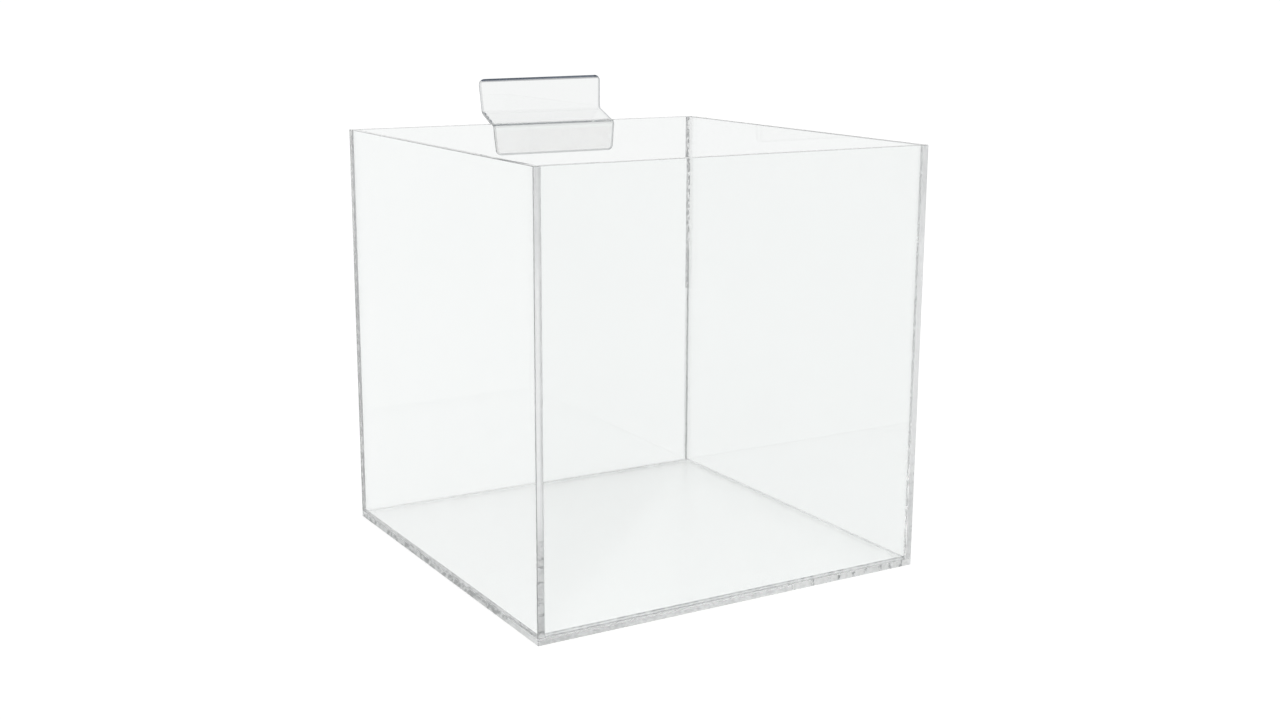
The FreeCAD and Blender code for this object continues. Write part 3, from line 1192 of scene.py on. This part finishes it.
def bend_strip():
    """The strip's middle surface, made from the low edge upwards."""
    middle_y = CLEAT_LOW.y + CLEAT_SHEET / 2
    width = CLEAT_HIGH.x - CLEAT_LOW.x
    across = (CLEAT_LOW.x + CLEAT_HIGH.x) / 2
    # the corner of the middle surface lies half a sheet back and a little lower
    drop = CLEAT_SHEET / 2 * math.tan(bend_turn / 2)
    reach = bend_middle_radius * math.tan(bend_turn / 2)
    first_bend = CLEAT_LOW.z + LOWER_LEG - drop - reach
    start_fresh()
    bpy.ops.mesh.primitive_plane_add(
        size=1, location=(across, middle_y, 0), rotation=(math.pi / 2, 0, 0)
    )
    strip = bpy.context.object
    strip.scale = (width, first_bend - CLEAT_LOW.z, 1)
    strip.location.z = (first_bend + CLEAT_LOW.z) / 2
    settle(strip, "cleat_strip")
    edit(strip)
    select_edges(strip, lambda middle, direction: near(middle.z, first_bend))
    bpy.ops.mesh.spin(
        steps=BEND_STEPS,
        angle=bend_turn,
        center=(across, middle_y + bend_middle_radius, first_bend),
        axis=(1, 0, 0),
    )
    step = math.hypot(STEP_RUN, STEP_RISE) - 2 * reach
    along = Vector((0, math.sin(bend_turn), math.cos(bend_turn)))
    bpy.ops.mesh.extrude_edges_move(TRANSFORM_OT_translate={"value": step * along})
    turn_up = Vector((0, -math.cos(bend_turn), math.sin(bend_turn)))
    centre = growing_end(strip) + bend_middle_radius * turn_up
    bpy.ops.mesh.spin(steps=BEND_STEPS, angle=-bend_turn, center=centre, axis=(1, 0, 0))
    lift = CLEAT_HIGH.z - growing_end(strip).z
    bpy.ops.mesh.extrude_edges_move(TRANSFORM_OT_translate={"value": (0, 0, lift)})
    return strip


cleat = bend_strip()
start_fresh()
print("strip reaches", [round(v * 1000, 2) for v in cleat.bound_box[6]])

# %% [markdown]
# The corners are rounded first, while a corner is still one vertex.

# %% Round the corners
CORNER_STEPS = 8


def is_outer_corner(vertex):
    place = vertex.co
    at_side = near(place.x, CLEAT_LOW.x) or near(place.x, CLEAT_HIGH.x)
    return at_side and (near(place.z, CLEAT_LOW.z) or near(place.z, CLEAT_HIGH.z))


edit(cleat)
select_where(cleat, "VERT", is_outer_corner)
bpy.ops.mesh.bevel(offset=CORNER_RADIUS, segments=CORNER_STEPS, affect="VERTICES")
print("cleat corners rounded by", CORNER_RADIUS * 1000, "mm")

# %% [markdown]
# Now the ends that a hand bent out of square are shifted, and the strip gets its thickness.

# %% Shift the ends and thicken
MERGE_UNDER = 0.000005


def merge_and_turn_out():
    """In edit mode, merges doubled vertices and turns every face outwards."""
    bpy.ops.mesh.select_all(action="SELECT")
    bpy.ops.mesh.remove_doubles(threshold=MERGE_UNDER)
    bpy.ops.mesh.normals_make_consistent(inside=False)


REACH = CORNER_RADIUS * 1.1
TOP_LEFT_UP, TOP_RIGHT_UP = 0.0002, 0.001
BEND_FROM, BEND_TO = 0.198, 0.2045  # the heights between which the lower bend lies
LEFT_END, RIGHT_END = CLEAT_LOW.x + REACH, CLEAT_HIGH.x - REACH
LOW_END, TOP_END = CLEAT_LOW.z + REACH, CLEAT_HIGH.z - REACH
OUT_OF_SQUARE = (
    # the part of the strip that leans, and by how much
    (lambda at: at.x < LEFT_END and at.z > TOP_END, (-0.0013, 0, TOP_LEFT_UP)),
    (lambda at: at.x > RIGHT_END and at.z > TOP_END, (0, 0, TOP_RIGHT_UP)),
    (lambda at: at.x < LEFT_END and at.z < LOW_END, (0.0012, 0, 0)),
    (lambda at: near(at.x, CLEAT_HIGH.x) and BEND_FROM < at.z < BEND_TO, (0.0008, 0, 0)),
)
for is_part, shift in OUT_OF_SQUARE:
    select_where(cleat, "VERT", lambda vertex: is_part(vertex.co))
    bpy.ops.transform.translate(value=shift)
merge_and_turn_out()
thicken(cleat, CLEAT_SHEET, even=True)
print("thickened strip has", len(cleat.data.polygons), "faces")

# %% [markdown]
# The outline is found by its normals: it is where a broad face meets the thin side. After the
# bevel, one straight cut below the top edge parts off the band that is painted with shade from
# the rest of the sheet.

# %% Polish the outline
BORDER = (CLEAT_SHEET - EDGE_FLAT) / 2
OUTLINE_STEPS = 6
SHARP_UNDER = 0.3


def on_outline(edge):
    """True where a face of the sheet meets its thin side."""
    normals = [face.normal for face in edge.link_faces]
    return len(normals) == 2 and normals[0].dot(normals[1]) < SHARP_UNDER


edit(cleat)
select_where(cleat, "EDGE", on_outline)
bpy.ops.mesh.bevel(offset=BORDER, segments=OUTLINE_STEPS, affect="EDGES", clamp_overlap=True)
merge_and_turn_out()
TOP_RISE = TOP_RIGHT_UP - TOP_LEFT_UP
# the cut parts off the band below the top edge that is painted with shade
band_start = Vector((CLEAT_LOW.x, 0, CLEAT_HIGH.z + TOP_LEFT_UP - SHADED_BAND))
across_top = Vector((CLEAT_HIGH.x - CLEAT_LOW.x, 0, TOP_RISE)).normalized()
bpy.ops.mesh.bisect(plane_co=band_start, plane_no=Vector((-across_top.z, 0, across_top.x)))
smooth(cleat)
print("cleat has", len(cleat.data.polygons), "faces")

# %% [markdown]
# A flame-polished edge is a rod-like lens: it gathers the dim top of the tent and looks like a
# dark line. That line is painted onto the rounded outline as shade, darkest along the top edge,
# with a narrow band below it painted half as dark. Each face on the rounded outline is marked
# with how dark it is painted. The lower leg is clearer than the rest of the strip, which is
# tinted greyer.

# %% The cleat's finish and its painted edge shade
# painted shade on the rounded outline, standing in for the dim top of the tent that the rounded
# edge gathers: how dark each part is painted
PAINTED_EDGE_SHADE = {"top": 1.0, "band_below_top": 0.5, "right": 0.55, "left": 0.4, "low": 0.3}
CLEAT_NUMBER = 20
SIDEWAYS = 0.15
LEG_TOP = CLEAT_LOW.z + LOWER_LEG - 0.002
# how grey the strip above the lower leg is tinted
HOOK_GREY = 0.8


def top_at(x):
    """The height of the cleat's leaning top edge."""
    share = (x - CLEAT_LOW.x) / (CLEAT_HIGH.x - CLEAT_LOW.x)
    return CLEAT_HIGH.z + TOP_LEFT_UP + TOP_RISE * share


def painted_edge_shade(middle, normal):
    """A flat face gets no painted shade, and a rounded one is painted as dark as its side."""
    top = top_at(middle.x)
    if middle.z > top - BORDER:
        return PAINTED_EDGE_SHADE["top"]
    if middle.z > top - SHADED_BAND:
        return PAINTED_EDGE_SHADE["band_below_top"]
    if abs(normal.x) > SIDEWAYS and middle.x > 0:
        return PAINTED_EDGE_SHADE["right"]
    if abs(normal.x) > SIDEWAYS:
        return PAINTED_EDGE_SHADE["left"]
    if middle.z < CLEAT_LOW.z + BORDER:
        return PAINTED_EDGE_SHADE["low"]
    return 0.0


BENT, tree, surface = clear_material("bent_acrylic", ABSORPTION_DENSITY)
finish_sheet_surface(
    tree,
    surface,
    face=((0.922, 0.930, 0.926, 1), (0.846, 0.856, 0.852, 1)),
    wetted=((0.8, 0.8, 0.8, 1), (0.8, 0.8, 0.8, 1)),
    # the near black of the rounded outline is painted shade, the dark line that the rounded edge
    # shows by gathering the dim top of the tent
    rounded=(0.03, 0.04, 0.06, 1),
    edge={"Clean Colour": (0.92, 0.93, 0.93, 1), "Streak Colour": (0.88, 0.89, 0.89, 1)},
    depth=0.00005,
)
mark_faces(cleat, EDGE, lambda middle, normal: 1.0 if painted_edge_shade(middle, normal) else 0.0)
mark_faces(cleat, ROUNDED, painted_edge_shade)
mark_faces(cleat, GREYED, lambda middle, normal: HOOK_GREY if middle.z >= LEG_TOP else 0.0)
for unmarked in (SAWN, SPECKLED, WETTED, DULLED, SCUFFED):
    mark_faces(cleat, unmarked, nothing)
mark_edge_places(cleat, 1, CLEAT_NUMBER)
hand_over(cleat, "slatwall_cleat", BENT)
